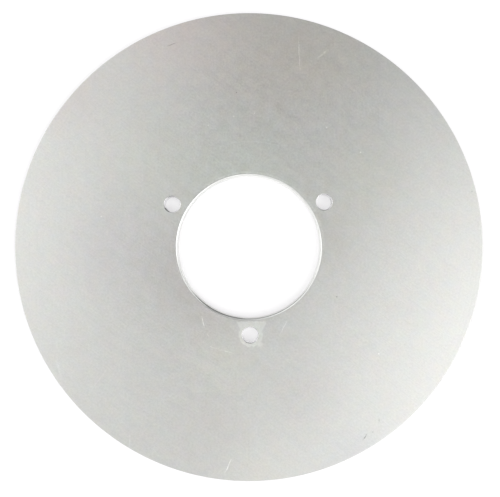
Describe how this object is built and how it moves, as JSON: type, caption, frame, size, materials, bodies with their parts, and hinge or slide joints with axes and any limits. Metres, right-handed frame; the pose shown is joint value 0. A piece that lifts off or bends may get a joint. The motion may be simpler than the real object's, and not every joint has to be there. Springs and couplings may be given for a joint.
{
  "type": "brake disc rotor",
  "caption": "Flat round steel brake disc with a plain friction band, a large centre bore and small bolt holes on a circle close to the bore.",
  "frame": {"origin": "centre of the bore on the lower face, which seats on the hub", "axes": "+Z along the disc's axis, from the hub face to the bolt-head face; -Y towards one of the bolt holes"},
  "size_m": [0.2032, 0.2032, 0.0048],
  "materials": {
    "ground_steel": "bare ground steel, satin, with fine speckle, faint grinding marks and light handling scratches"
  },
  "bodies": {
    "root": {"brake_disc": "ground_steel"}
  },
  "joints": []
}
